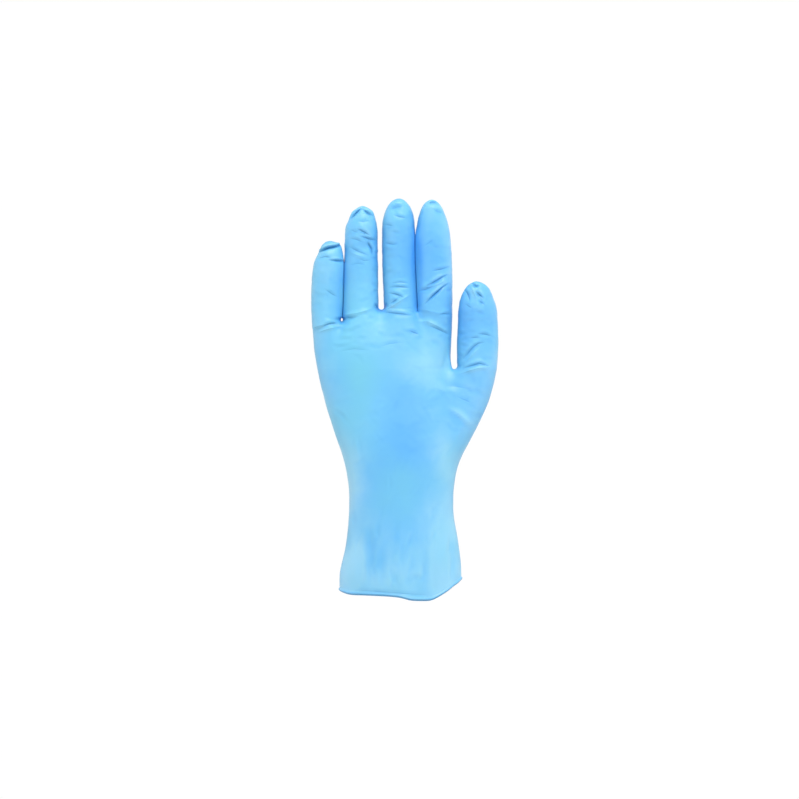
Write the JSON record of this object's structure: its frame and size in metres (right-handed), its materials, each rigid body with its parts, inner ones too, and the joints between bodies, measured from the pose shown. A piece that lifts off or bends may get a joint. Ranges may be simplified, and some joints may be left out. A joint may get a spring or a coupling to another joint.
{
  "type": "nitrile exam glove",
  "caption": "Thin disposable exam glove standing open as on a hand, with closed fingers, a flared cuff and a rolled bead round its mouth.",
  "frame": {"origin": "the middle of the wrist, where the glove is narrowest and an arm's end goes in", "axes": "+Z from the wrist to the fingertips, +X to the thumb's side, -Y out of the palm's side that the picture shows"},
  "size_m": [0.1118, 0.0479, 0.2395],
  "materials": {
    "nitrile": "smooth, satin, slightly translucent film"
  },
  "bodies": {
    "root": {"glove": "nitrile"}
  },
  "joints": []
}
